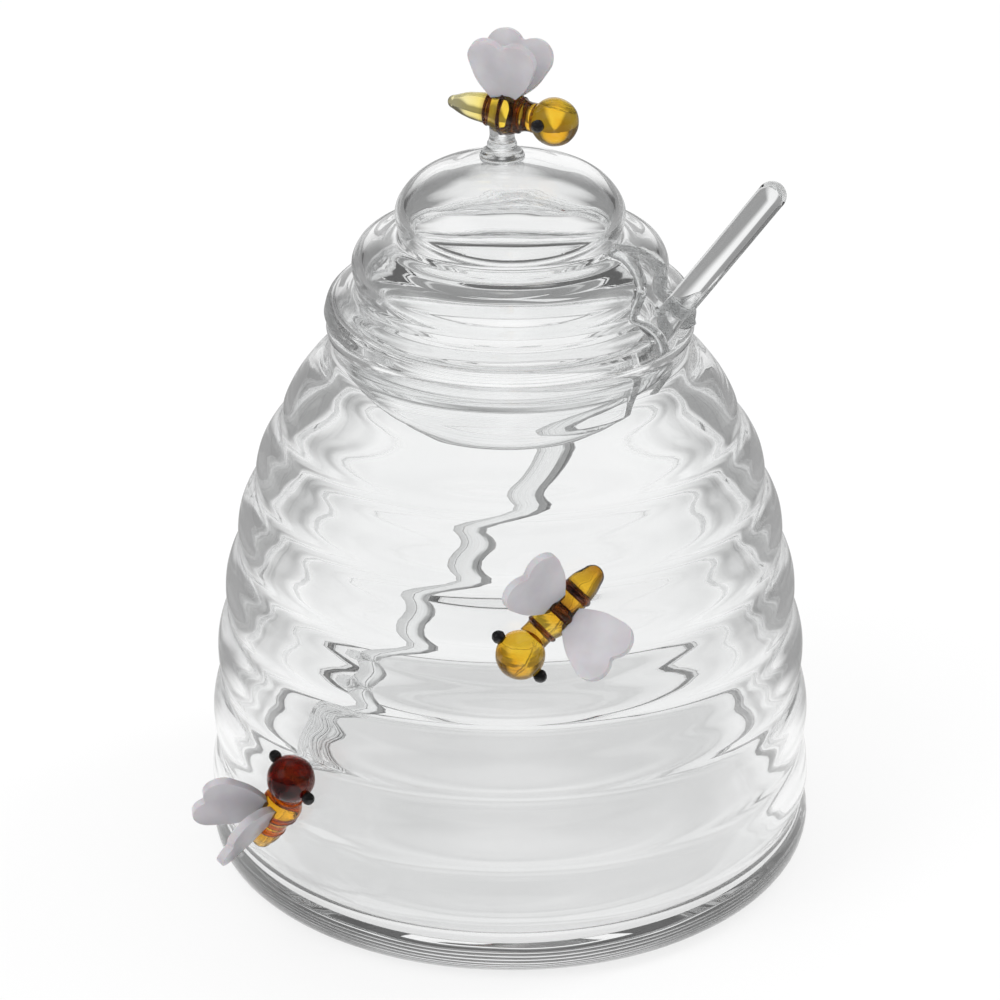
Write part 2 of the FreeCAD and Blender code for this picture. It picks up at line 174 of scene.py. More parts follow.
def keepInside(piece):  # keeps the wavered points inside the solids' box
    low, high = cadBox
    for vert in piece.data.vertices:
        vert.co = [min(max(value, least), most) for value, least, most in zip(vert.co, low, high)]


def finishPiece(piece, material, slot, *nodes):
    keepInside(piece)
    piece.data.materials.clear()
    piece.data.materials.append(material)
    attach(piece, "root")
    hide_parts(*nodes)


# glass

def blendNode(tree, kind, first, second):
    node = tree.nodes.new("ShaderNodeMath")
    node.operation = kind
    for socket, value in zip(node.inputs, (first, second)):
        if isinstance(value, (int, float)):
            socket.default_value = value
        else:
            tree.links.new(value, socket)
    return node.outputs[0]


def fadeNode(tree, value, start, end, first, last):
    node = tree.nodes.new("ShaderNodeMapRange")
    node.interpolation_type = "SMOOTHSTEP"
    for name, number in (("From Min", start), ("From Max", end), ("To Min", first), ("To Max", last)):
        node.inputs[name].default_value = number
    tree.links.new(value, node.inputs["Value"])
    return node.outputs["Result"]


def newMaterial(name):
    material = bpy.data.materials.new(name)
    material.use_nodes = True
    tree = material.node_tree
    shader = tree.nodes["Principled BSDF"]
    coords = tree.nodes.new("ShaderNodeTexCoord")
    return material, tree, shader, coords


def patchyColor(tree, coords, shader, first, second, scale, detail=2.0, spread=(0.35, 0.65)):
    noise = tree.nodes.new("ShaderNodeTexNoise")
    noise.inputs["Scale"].default_value = scale
    noise.inputs["Detail"].default_value = detail
    ramp = tree.nodes.new("ShaderNodeValToRGB")
    ramp.color_ramp.elements[0].position, ramp.color_ramp.elements[1].position = spread
    ramp.color_ramp.elements[0].color = (*first, 1)
    ramp.color_ramp.elements[1].color = (*second, 1)
    tree.links.new(coords.outputs["Object"], noise.inputs["Vector"])
    tree.links.new(noise.outputs["Fac"], ramp.inputs["Fac"])
    tree.links.new(ramp.outputs["Color"], shader.inputs["Base Color"])


def softBump(tree, coords, shader, scale, distance, detail=1.0, flatten=1.0):
    noise = tree.nodes.new("ShaderNodeTexNoise")
    noise.inputs["Scale"].default_value = scale
    noise.inputs["Detail"].default_value = detail
    bump = tree.nodes.new("ShaderNodeBump")
    bump.inputs["Strength"].default_value = 1.0
    bump.inputs["Distance"].default_value = distance * mm
    squeeze = tree.nodes.new("ShaderNodeMapping")
    squeeze.inputs["Scale"].default_value = (1, 1, flatten)
    tree.links.new(coords.outputs["Object"], squeeze.inputs["Vector"])
    tree.links.new(squeeze.outputs["Vector"], noise.inputs["Vector"])
    tree.links.new(noise.outputs["Fac"], bump.inputs["Height"])
    tree.links.new(bump.outputs["Normal"], shader.inputs["Normal"])


def glassMaterial(name, look):
    material, tree, shader, coords = newMaterial(name)
    shader.inputs["Transmission Weight"].default_value = look.get("transmission", 1.0)
    shader.inputs["Roughness"].default_value = look.get("roughness", 0.0)
    shader.inputs["IOR"].default_value = look.get("ior", 1.47)
    patchyColor(tree, coords, shader, look["first"], look["second"], look["patchScale"],
                look.get("patchDetail", 2.0), look.get("spread", (0.35, 0.65)))
    softBump(tree, coords, shader, look["waveScale"], look["waveDepth"],
             look.get("waveDetail", 1.0), look.get("waveFlatten", 1.0))
    if "subsurface" in look:
        shader.inputs["Subsurface Weight"].default_value = look["subsurface"]
        shader.inputs["Subsurface Scale"].default_value = 0.8 * mm
    return material


def bandedGlass(name, matrix, look):  # colours change along the bee, from its head back
    material, tree, shader, coords = newMaterial(name)
    shader.inputs["Transmission Weight"].default_value = 1.0
    shader.inputs["Roughness"].default_value = 0.0
    shader.inputs["IOR"].default_value = 1.47
    lay = tree.nodes.new("ShaderNodeMapping")
    lay.vector_type = "TEXTURE"
    lay.inputs["Location"].default_value = matrix.translation
    lay.inputs["Rotation"].default_value = matrix.to_euler()
    noise = tree.nodes.new("ShaderNodeTexNoise")
    noise.inputs["Scale"].default_value = look["runScale"]
    noise.inputs["Detail"].default_value = 2.0
    split = tree.nodes.new("ShaderNodeSeparateXYZ")
    tree.links.new(coords.outputs["Object"], lay.inputs["Vector"])
    tree.links.new(lay.outputs["Vector"], noise.inputs["Vector"])
    tree.links.new(lay.outputs["Vector"], split.inputs[0])
    back = blendNode(tree, "MULTIPLY", split.outputs["X"], -1 / (look["length"] * mm))
    middling = blendNode(tree, "SUBTRACT", noise.outputs["Fac"], 0.5)
    run = blendNode(tree, "MULTIPLY", middling, look["run"])
    ramp = tree.nodes.new("ShaderNodeValToRGB")
    stops = ramp.color_ramp.elements
    for i, (at, color) in enumerate(look["colors"]):
        stop = stops[i] if i < 2 else stops.new(at / look["length"])
        stop.position = at / look["length"]
        stop.color = (*color, 1)
    tree.links.new(blendNode(tree, "ADD", back, run), ramp.inputs["Fac"])
    tree.links.new(ramp.outputs["Color"], shader.inputs["Base Color"])
    softBump(tree, coords, shader, look["waveScale"], look["waveDepth"])
    return material


clearGlass = glassMaterial("clearGlass", {
    "first": (0.945, 0.95, 0.95), "second": (0.98, 0.983, 0.983),
    "patchScale": 40, "waveScale": 16, "waveDepth": 0.5, "waveFlatten": 4.5, "waveDetail": 1.5})
# painted shade: the rod's glass is tinted greyer than the clear glass so the clear rod reads grey
rodGlass = glassMaterial("rodGlass", {
    "first": (0.88, 0.885, 0.885), "second": (0.94, 0.945, 0.945),
    "patchScale": 60, "waveScale": 70, "waveDepth": 0.04})
amberGlass = glassMaterial("amberGlass", {
    "first": (0.82, 0.38, 0.006), "second": (0.97, 0.70, 0.07),
    "patchScale": 240, "patchDetail": 5.0, "waveScale": 480, "waveDepth": 0.09, "waveDetail": 3.0})
darkAmberGlass = glassMaterial("darkAmberGlass", {
    "first": (0.30, 0.03, 0.005), "second": (0.62, 0.13, 0.012),
    "patchScale": 220, "patchDetail": 3.0, "waveScale": 300, "waveDepth": 0.06})
brownGlass = glassMaterial("brownGlass", {
    "first": (0.08, 0.022, 0.008), "second": (0.55, 0.24, 0.04), "transmission": 0.92,
    "patchScale": 420, "patchDetail": 3.0, "waveScale": 500, "waveDepth": 0.08, "roughness": 0.03})
redBrownGlass = glassMaterial("redBrownGlass", {
    "first": (0.42, 0.10, 0.01), "second": (0.80, 0.33, 0.02),
    "patchScale": 350, "patchDetail": 3.0, "waveScale": 500, "waveDepth": 0.08})
opalGlass = glassMaterial("opalGlass", {
    "first": (0.58, 0.56, 0.59), "second": (0.67, 0.655, 0.685), "transmission": 0.3,
    "patchScale": 180, "patchDetail": 3.0, "waveScale": 220, "waveDepth": 0.08, "roughness": 0.28,
    "subsurface": 0.3})
blackGlass = glassMaterial("blackGlass", {
    "first": (0.004, 0.004, 0.004), "second": (0.012, 0.011, 0.012), "transmission": 0.0,
    "patchScale": 300, "waveScale": 900, "waveDepth": 0.06, "roughness": 0.12})


# jar: a ringed hive with a flared rim

jarShape = {
    "bodyRadius": 53.5, "hiveHeight": 102.8, "hiveFullness": 2.33, "hiveTip": 0.33,
    "ringCount": 7, "firstRing": 13.3, "lastRing": 85.7, "crowding": 0.127,
    "groove": 1.15, "swell": 0.28, "innerGroove": 0.55, "innerSwell": 0.5, "wall": 2.2,
    "footCorner": 5.0, "floor": 3.0, "innerCorner": 8.0,
    "neckRadius": 30.2, "neckZ": 94.9, "lipRadius": 31.3, "mouthRadius": 28.2,
    "mouthZ": 98.8, "rimRound": 1.0, "flare": ((30.4, 95.7), (30.75, 96.4)), "lipTurn": (31.0, 98.5),
    "spacing": 0.85, "steps": 224, "waver": 0.16, "waverSize": 26}


def hiveRadius(z):
    s = jarShape
    return s["bodyRadius"] * (1 - (z / s["hiveHeight"]) ** s["hiveFullness"]) ** s["hiveTip"]


def hivePoint(z, depth):  # a point of the hive's side at height z, moved in by depth
    slope = (hiveRadius(z + 0.01) - hiveRadius(z - 0.01)) / 0.02
    length = hypot(1, slope)
    return hiveRadius(z) - depth / length, z + depth * slope / length


def hiveSide(depth, groove, swell):  # swell is the share of the groove reached halfway to it
    s = jarShape
    heights = []
    for i in range(s["ringCount"]):
        share = i / (s["ringCount"] - 1)
        share *= 1 + s["crowding"] * (1 - share)
        heights.append(s["firstRing"] + (s["lastRing"] - s["firstRing"]) * share)
    points = [hivePoint(heights[0], depth)]
    for below, z in zip(heights, heights[1:]):
        for share, dip in ((0.25, swell), (0.5, 1), (0.75, swell), (1, 0)):
            points.append(hivePoint(below + (z - below) * share, depth + dip * groove))
    points.append(hivePoint((heights[-1] + s["neckZ"]) / 2, depth))
    return points


def jarOutline():
    s = jarShape
    footRadius = s["bodyRadius"] - s["footCorner"]
    rimZ = s["mouthZ"] - s["rimRound"]
    outside = arcPoints((footRadius, s["footCorner"]), s["footCorner"], -90, 0, 5)
    outside.append(hivePoint((s["footCorner"] + s["firstRing"]) / 2, s["groove"]))
    outside += hiveSide(0, s["groove"], s["swell"])
    outside += [(s["neckRadius"], s["neckZ"]), *s["flare"], (s["lipRadius"], rimZ), s["lipTurn"],
                (s["lipRadius"] - s["rimRound"], s["mouthZ"])]
    rimIn = arcPoints((s["mouthRadius"] + s["rimRound"], rimZ), s["rimRound"], 90, 180, 7)
    innerRadius = s["bodyRadius"] - s["wall"] - s["innerCorner"]
    inside = arcPoints((innerRadius, s["floor"] + s["innerCorner"]), s["innerCorner"], -90, 0, 5)
    inside += hiveSide(s["wall"], s["innerGroove"], s["innerSwell"]) + [(s["mouthRadius"], s["neckZ"])]
    inside.reverse()
    return joinLines(
        linePoints((0, 0), (footRadius, 0), 12),
        smoothLine(outside, s["spacing"]),
        rimIn,
        smoothLine(inside, s["spacing"]),
        linePoints((innerRadius, s["floor"]), (0, s["floor"]), 12))


jar = turnedPiece("jarBody", jarOutline(), jarShape["steps"])
waver(jar, jarShape["waver"], jarShape["waverSize"])
finishPiece(jar, clearGlass, "jar_glass", "jar")
print("jar turned", len(jar.data.polygons))


# lid: three rounded tiers, a flange, a collar and the notch

lidShape = {
    "seatGap": 0.05, "flangeRadius": 31.6, "flangeRound": 1.6, "ledge": 2.0,
    "tiers": ((19.4, 117.9, 9.5, 0.0), (26.8, 109.0, 5.4, 18.7), (31.6, 100.5, 4.5, 26.1)),
    "tuckIn": 0.25, "tuckDown": 1.8, "creaseLean": 0.6, "wall": 2.0,
    "plugRadius": 25.9, "plugBottom": 85.0,
    "flangeEdge": (0.48, 99.45), "edgeSpacing": 0.35,
    "notchAzimuth": -23.0, "notchFoot": 12.6, "notchTop": 9.2, "notchTopZ": 113.4,
    "notchShoulder": 107.0, "notchStart": 11.6, "notchDepth": 34, "notchBelow": 4,
    "rimRadius": 1.3, "rimHeights": (99.9, 101.2, 103.0, 105.0), "sharpAngle": 38,
    "spacing": 0.7, "steps": 192, "waver": 0.14, "waverSize": 18}


def lidSide(inset):
    s = lidShape
    points = []
    for radius, z, rise, start in s["tiers"]:
        for degrees in (0, 30, 60, 90):
            t = radians(degrees)
            run = radius - start
            out = Vector((sin(t) / run, cos(t) / rise)).normalized()
            if degrees == 0 and start > 0:
                out = Vector((s["creaseLean"], 1 - s["creaseLean"])).normalized()
            points.append((start + run * sin(t) - out.x * inset, z + rise * cos(t) - out.y * inset))
        if radius < s["flangeRadius"]:
            points.append((radius - s["tuckIn"] - inset, z - s["tuckDown"]))
    return points


def domeLine(points, spacing):  # starts level on the axis
    mirrored = [(-p[0], p[1]) for p in points[2:0:-1]]
    line = smoothLine(mirrored + points, spacing)
    start = min(range(len(line)), key=lambda i: abs(line[i][0]) + abs(line[i][1] - points[0][1]))
    return [tuple(points[0])] + line[start + 1:]


def lidOutline():
    s = lidShape
    outside = lidSide(0)
    inside = lidSide(s["wall"])[:-1]
    plugIn = s["plugRadius"] - s["wall"]
    seatZ = jarShape["mouthZ"] + s["seatGap"]
    ledgeZ = seatZ + s["ledge"]
    pocket = [(inside[-1][0] - 0.5, ledgeZ + 0.1), ((inside[-1][0] + s["plugRadius"]) / 2, ledgeZ),
              (s["plugRadius"] - 0.8, ledgeZ - 0.4), (plugIn, seatZ)]
    edgeIn, edgeZ = s["flangeEdge"]
    edge = [outside[-1], (s["flangeRadius"] - edgeIn, edgeZ), (s["flangeRadius"] - s["flangeRound"], seatZ)]
    tipRound = s["wall"] / 2
    plugTip = arcPoints((plugIn + tipRound, s["plugBottom"] + tipRound), tipRound, 0, -180, 9)
    underside = domeLine(inside + pocket, s["spacing"])
    underside.reverse()
    return joinLines(
        domeLine(outside, s["spacing"]),
        smoothLine(edge, s["edgeSpacing"]),
        linePoints(edge[-1], (s["plugRadius"], seatZ), 5),
        linePoints((s["plugRadius"], seatZ), plugTip[0], 14),
        plugTip,
        linePoints(plugTip[-1], (plugIn, seatZ), 14),
        underside)


def notchCutter():  # an arch pushed out through the side
    s = lidShape
    halfFoot, halfTop = s["notchFoot"] / 2, s["notchTop"] / 2
    crownZ = s["notchTopZ"] - halfTop
    low = s["plugBottom"] - s["notchBelow"]
    outline = [(-halfFoot, low), (-halfFoot, s["notchShoulder"])]
    outline += arcPoints((0, crownZ), halfTop, 180, 0, 25)
    outline += [(halfFoot, s["notchShoulder"]), (halfFoot, low)]
    cutter = drawLine("notchCutter", outline)
    pushOut(s["notchDepth"])
    bpy.ops.object.mode_set(mode="OBJECT")
    turn = Matrix.Rotation(radians(90 + s["notchAzimuth"]), 4, "Z")
    placePiece(cutter, turn @ Matrix.Translation((0, -s["notchStart"] * mm, 0)))
    return cutter


def notchRim():  # the fire-rounded bead along the notch
    s = lidShape
    middle = smoothLine(lidSide(s["wall"] / 2), 0.25)
    halfFoot, halfTop = s["notchFoot"] / 2, s["notchTop"] / 2
    crownZ = s["notchTopZ"] - halfTop
    side = [(halfFoot, z) for z in (*s["rimHeights"], s["notchShoulder"])]
    path = side + arcPoints((0, crownZ), halfTop, 10, 170, 15) + [(-y, z) for y, z in reversed(side)]
    curve = bpy.data.curves.new("notchRim", "CURVE")
    curve.dimensions = "3D"
    curve.bevel_depth = s["rimRadius"] * mm
    curve.bevel_resolution = 5
    curve.use_fill_caps = True
    line = curve.splines.new("NURBS")
    line.points.add(len(path) - 1)
    turn = Matrix.Rotation(radians(90 + s["notchAzimuth"]), 4, "Z")
    tooNear = 100  # keeps points closer to the axis than the notch's side out of the choice
    for point, (y, z) in zip(line.points, path):
        radius = min(middle, key=lambda p: abs(p[1] - z) + (tooNear if p[0] < y else 0))[0]
        place = turn @ Vector((y, -sqrt(radius ** 2 - y ** 2), z))
        point.co = (*(place * mm), 1)
    line.order_u = 3
    line.use_endpoint_u = True
    rim = bpy.data.objects.new("notchRim", curve)
    bpy.context.collection.objects.link(rim)
    deselectAll()
    rim.select_set(True)
    bpy.context.view_layer.objects.active = rim
    bpy.ops.object.convert(target="MESH")
    bpy.ops.object.mode_set(mode="EDIT")
    bpy.ops.mesh.select_all(action="SELECT")
    bpy.ops.mesh.remove_doubles(threshold=0.01 * mm)
    bpy.ops.mesh.normals_make_consistent(inside=False)
    bpy.ops.object.mode_set(mode="OBJECT")
    return bpy.context.object


lid = turnedPiece("lidDome", lidOutline(), lidShape["steps"])
waver(lid, lidShape["waver"], lidShape["waverSize"])
cutWith(lid, notchCutter())
cutWith(lid, notchRim(), "UNION")
bpy.ops.object.shade_smooth_by_angle(angle=radians(lidShape["sharpAngle"]))
finishPiece(lid, clearGlass, "lid_glass", "lid")
print("lid turned and notched", len(lid.data.polygons))


# dipper: a rod with a fluted head

dipperShape = {
    "rodRadius": 2.4, "length": 153.0, "reach": 40.0, "azimuth": -20.0, "tipRadius": 3.0,
    "headRadius": 4.6, "headLength": 19.0, "shoulder": 2.6,
    "flutes": 8, "fluteRadius": 1.25, "fluteDepth": 0.75, "fluteRound": 0.9,
    "restGap": 0.1, "steps": 96, "sharpAngle": 35, "waver": 0.1, "waverSize": 12}


def dipperMatrix():
    s = dipperShape
    tip = Vector((-s["reach"], 0, jarShape["floor"] + s["tipRadius"] + s["restGap"]))
    rimRound = jarShape["rimRound"]
    rim = Vector((jarShape["mouthRadius"] + rimRound, 0, jarShape["mouthZ"] - rimRound))
    span = rim - tip
    offset = rimRound + s["restGap"] + s["rodRadius"]
    slope = atan2(span.z, span.x) + asin(offset / span.length)
    turn = Matrix.Rotation(radians(s["azimuth"]), 4, "Z")
    return turn @ Matrix.Translation(tip * mm) @ Matrix.Rotation(pi / 2 - slope, 4, "Y")


def makeDipper():
    s = dipperShape
    tip, wide, rod = s["tipRadius"], s["headRadius"], s["rodRadius"]
    shoulderTop = s["headLength"] - tip
    wideZ = shoulderTop - s["shoulder"]
    top = s["length"] - tip
    shoulder = [(wide, wideZ), (0.93 * wide, wideZ + 0.62 * s["shoulder"]), (rod, shoulderTop)]
    outline = joinLines(
        arcPoints((0, 0), tip, -90, 0, 12),
        linePoints((tip, 0), (wide, wideZ), 14),
        smoothLine(shoulder, 0.3),
        linePoints((rod, shoulderTop), (rod, top - rod), 60),
        arcPoints((0, top - rod), rod, 0, 90, 12))
    dipper = turnedPiece("dipperRod", outline, s["steps"])
    lean = atan2(wide - tip, wideZ)
    for i in range(s["flutes"]):
        deselectAll()
        bpy.ops.mesh.primitive_cylinder_add(
            vertices=28, radius=s["fluteRadius"] * mm, depth=wideZ * 2 * mm)
        flute = bpy.context.object
        bpy.ops.object.mode_set(mode="EDIT")
        bpy.ops.mesh.select_all(action="SELECT")
        bpy.ops.mesh.bevel(offset=s["fluteRound"] * mm, segments=6, affect="EDGES", clamp_overlap=True)
        bpy.ops.object.mode_set(mode="OBJECT")
        away = s["tipRadius"] - s["fluteDepth"] + s["fluteRadius"]
        turn = Matrix.Rotation(2 * pi * i / s["flutes"], 4, "Z")
        outward = Matrix.Translation((away * mm, 0, 0))
        placePiece(flute, turn @ outward @ Matrix.Rotation(lean, 4, "Y"))
        cutWith(dipper, flute)
    bpy.ops.object.shade_smooth_by_angle(angle=radians(s["sharpAngle"]))
    waver(dipper, s["waver"], s["waverSize"])
    placePiece(dipper, dipperMatrix())
    finishPiece(dipper, rodGlass, "rod_glass", "dipper")


makeDipper()
print("dipper made")


# bees: lampworked glass, one on the lid's stem and two on the wall

beeShape = {
    "headRadius": 4.05, "length": 19.0, "neckRadius": 2.5, "neckBack": 4.6, "neckLength": 1.6,
    "thoraxBack": 7.8, "waistBack": 11.5, "tailTaper": 3.0,
    "eyeRadius": 1.1, "eyeStand": 0.65, "bandRadius": 0.75, "bandProud": 0.2,
    "wingThickness": 1.4, "wingEdge": 0.5, "lobeShare": 0.275, "dipRadius": 0.8,
    "rootWidth": 3.6, "rootShare": 0.95, "wingSink": 1.0,
    "wingSwell": 0.75, "stand": 2.5, "headLift": 1.8, "sharpAngle": 40,
    "headWaver": (0.12, 3), "bodyWaver": (0.16, 3), "bandWaver": (0.25, 2), "eyeWaver": (0.2, 1.2),
    "bodyLook": {"length": 20.0, "runScale": 260, "run": 0.14, "waveScale": 350, "waveDepth": 0.05}}

bees = {
    "bee_finial": {
        "thorax": 3.7, "waist": 2.75, "tail": 1.1,
        "bands": (5.9, 8.9, 11.6), "widths": (0.55, 0.5, 0.55),
        "colors": ((3.0, (0.93, 0.62, 0.05)), (5.0, (0.85, 0.45, 0.03)), (5.9, (0.30, 0.10, 0.02)),
                   (7.0, (0.97, 0.72, 0.08)), (8.1, (0.95, 0.64, 0.06)), (8.9, (0.25, 0.08, 0.015)),
                   (9.7, (0.97, 0.68, 0.07)), (10.9, (0.93, 0.58, 0.05)), (11.6, (0.28, 0.09, 0.02)),
                   (12.7, (0.97, 0.80, 0.20)), (17.5, (0.98, 0.90, 0.52))),
        "wing": (11.8, 10.9), "wingBack": 9.0, "spreads": (16.0, 14.0), "leans": (9.0, 0.0),
        "eye": (-0.25, 1.0, 0.12), "head": (7.3, -2.9, 134.8), "yaw": -22.0, "pitch": 3.8},
    "bee_front": {
        "thorax": 3.35, "waist": 2.8, "tail": 1.9, "bands": (5.4, 9.4, 13.4), "widths": (0.7, 1.2, 1.0),
        "colors": ((3.0, (0.75, 0.36, 0.02)), (6.4, (0.93, 0.62, 0.06)), (8.6, (0.85, 0.42, 0.02)),
                   (10.6, (0.40, 0.16, 0.02)), (12.4, (0.85, 0.46, 0.03)), (13.6, (0.35, 0.13, 0.02)),
                   (15.0, (0.92, 0.56, 0.04)), (18.6, (0.60, 0.27, 0.02))),
        "wing": (11.3, 11.6), "wingBack": 9.9, "spreads": (50.0, 50.0), "leans": (0.0, 0.0),
        "eye": (0.06, 1.0, 0.08), "azimuth": 8.0, "height": 65.6, "heading": -136.6},
    "bee_side": {
        "thorax": 3.5, "waist": 2.8, "tail": 1.9, "bands": (5.4, 9.4, 13.4), "widths": (0.8, 1.0, 1.0),
        "colors": ((3.0, (0.60, 0.18, 0.01)), (6.8, (0.90, 0.46, 0.02)), (9.4, (0.82, 0.33, 0.01)),
                   (12.0, (0.92, 0.50, 0.02)), (14.0, (0.80, 0.36, 0.02)), (18.6, (0.90, 0.52, 0.04))),
        "wing": (11.6, 12.2), "wingBack": 9.3, "spreads": (30.0, 12.0), "leans": (0.0, 0.0),
        "eye": (0.09, 1.0, 0.0), "azimuth": -44.1, "height": 26.4, "heading": 60.4}}


def axesMatrix(xAxis, yAxis, zAxis, origin):
    matrix = Matrix((xAxis, yAxis, zAxis)).transposed().to_4x4()
    matrix.translation = origin * mm
    return matrix


def beeMatrix(bee):
    s = beeShape
    if "head" in bee:
        yaw, pitch = radians(bee["yaw"]), radians(bee["pitch"])
        level, up = Vector((cos(yaw), sin(yaw), 0)), Vector((0, 0, 1))
        ahead = level * cos(pitch) - up * sin(pitch)
        out = up * cos(pitch) + level * sin(pitch)
        return axesMatrix(ahead, out.cross(ahead), out, Vector(bee["head"]))
    azimuth, heading = radians(bee["azimuth"]), radians(bee["heading"])
    flatOut = Vector((sin(azimuth), -cos(azimuth), 0))
    along = Vector((cos(azimuth), sin(azimuth), 0))
    surface, lifted = hivePoint(bee["height"], 0), hivePoint(bee["height"], -1)
    out = flatOut * (lifted[0] - surface[0]) + Vector((0, 0, lifted[1] - surface[1]))
    ahead = along * cos(heading) + out.cross(along) * sin(heading)
    middle = flatOut * surface[0] + Vector((0, 0, surface[1])) + out * s["stand"]
    return axesMatrix(ahead, out.cross(ahead), out, middle + ahead * s["thoraxBack"])


def bodyOutline(bee):
    s = beeShape
    end = s["length"]
    stations = [
        (s["neckBack"] - s["neckLength"], s["neckRadius"]),
        (s["neckBack"], s["neckRadius"]),
        (s["thoraxBack"], bee["thorax"]),
        (s["waistBack"], bee["waist"]),
        (end - s["tailTaper"], (bee["waist"] + bee["tail"]) / 2),
        (end - 0.9 * bee["tail"], bee["tail"])]
    side = smoothLine([(radius, -back) for back, radius in stations], 0.25)
    low, tail = side[-1], bee["tail"]
    height = end + low[1]
    capRadius = (tail ** 2 + height ** 2) / (2 * height)
    first = -90 + 2 * 90 / pi * asin(min(1, tail / capRadius))
    if height > tail:
        first = -first
    tip = arcPoints((0, -end + capRadius), capRadius, first, -90, 10)
    return joinLines([(0, side[0][1])], side, tip[1:-1], [(0, -end)])


def radiusAt(outline, back):
    for a, b in zip(outline, outline[1:]):
        if a[1] >= -back >= b[1] and a[1] > b[1]:
            return a[0] + (b[0] - a[0]) * (a[1] + back) / (a[1] - b[1])
    return outline[-2][0]


def wingOutline(width, length):
    s = beeShape
    lobe = s["lobeShare"] * width
    cx, cy = width / 2 - lobe, length - lobe - s["wingSink"]
    root = s["rootWidth"] / 2
    dip = s["dipRadius"]
    dipY = cy + sqrt((lobe + dip) ** 2 - cx ** 2)
    reach = hypot(cx - root, cy + s["wingSink"])
    turn = atan2(cy + s["wingSink"], cx - root) - asin(lobe / reach)
    toDip = atan2(dipY - cy, -cx) * 180 / pi
    side = (cx + lobe * sin(turn), cy - lobe * cos(turn))
    right = []
    for i in range(1, 9):  # the sides swell a little on the way to the lobes
        t = i / 10
        push = s["wingSwell"] * sin(pi * t) * (0.5 + 0.5 * t)
        right.append((root + (side[0] - root) * t + push * sin(turn),
                      -s["wingSink"] + (side[1] + s["wingSink"]) * t - push * cos(turn)))
    right += arcPoints((cx, cy), lobe, turn * 180 / pi - 72, toDip, 24)
    middle = arcPoints((0, dipY), dip, toDip - 180, -180 - (toDip - 180), 7)
    left = [(-x, y) for x, y in reversed(right)]
    foot = [(root, -s["wingSink"])]
    return foot + right + middle[1:-1] + left + [(-root, -s["wingSink"])]


def makeWing(name, bee, side):
    s = beeShape
    at = 0 if side > 0 else 1
    spread, lean = radians(bee["spreads"][at]) * side, radians(bee["leans"][at])
    wing = drawLine(name, wingOutline(*bee["wing"]))
    pushOut(s["wingThickness"])
    bpy.ops.mesh.select_all(action="DESELECT")
    bpy.ops.object.mode_set(mode="OBJECT")
    foot = -0.99 * s["wingSink"] * mm
    for edge in wing.data.edges:  # both faces' rims, without the sunk foot
        a, b = (wing.data.vertices[v].co for v in edge.vertices)
        edge.select = abs(a.y - b.y) < 1e-7 and not (a.z < foot and b.z < foot)
    bpy.ops.object.mode_set(mode="EDIT")
    bpy.ops.mesh.bevel(offset=s["wingEdge"] * mm, segments=4, affect="EDGES", clamp_overlap=True)
    bpy.ops.mesh.select_all(action="SELECT")
    bpy.ops.mesh.remove_doubles(threshold=0.005 * mm)
    bpy.ops.mesh.normals_make_consistent(inside=False)
    bpy.ops.object.mode_set(mode="OBJECT")
    out = Vector((0, sin(spread), cos(spread)))
    ahead = Vector((1, 0, 0))
    root = out * s["rootShare"] * bee["thorax"] - ahead * bee["wingBack"]
    across = ahead * cos(lean) - out * sin(lean)
    along = out * cos(lean) + ahead * sin(lean)
    local = axesMatrix(across, along.cross(across), along, root)
    lay = Matrix.Translation((0, s["wingThickness"] / 2 * mm, 0))
    placePiece(wing, beeMatrix(bee) @ local @ lay)
    bpy.ops.object.shade_smooth_by_angle(angle=radians(s["sharpAngle"]))
    return wing


